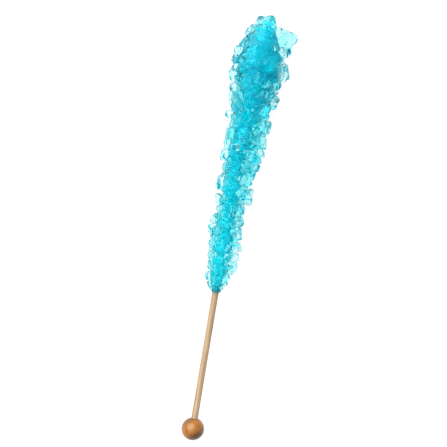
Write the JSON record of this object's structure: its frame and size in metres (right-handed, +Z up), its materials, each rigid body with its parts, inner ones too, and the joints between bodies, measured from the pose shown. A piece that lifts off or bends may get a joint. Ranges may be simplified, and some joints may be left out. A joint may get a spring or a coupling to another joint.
{
  "type": "rock candy stick",
  "caption": "Swizzle stick with a ball end, thickly grown with clear blue sugar crystals that widen to a head.",
  "frame": {"origin": "on the surface it lies on, under the middle of its bounding box", "axes": "+Y along the stick from the ball towards the head of the candy, +Z up, +X to the right seen from above"},
  "size_m": [0.0246, 0.1648, 0.0194],
  "materials": {
    "blue_rock_sugar": "gloss",
    "birch_dowel": "matte",
    "stained_beech": "satin"
  },
  "bodies": {
    "root": {"candy": "blue_rock_sugar", "stick": "birch_dowel", "ball": "stained_beech"}
  },
  "joints": []
}
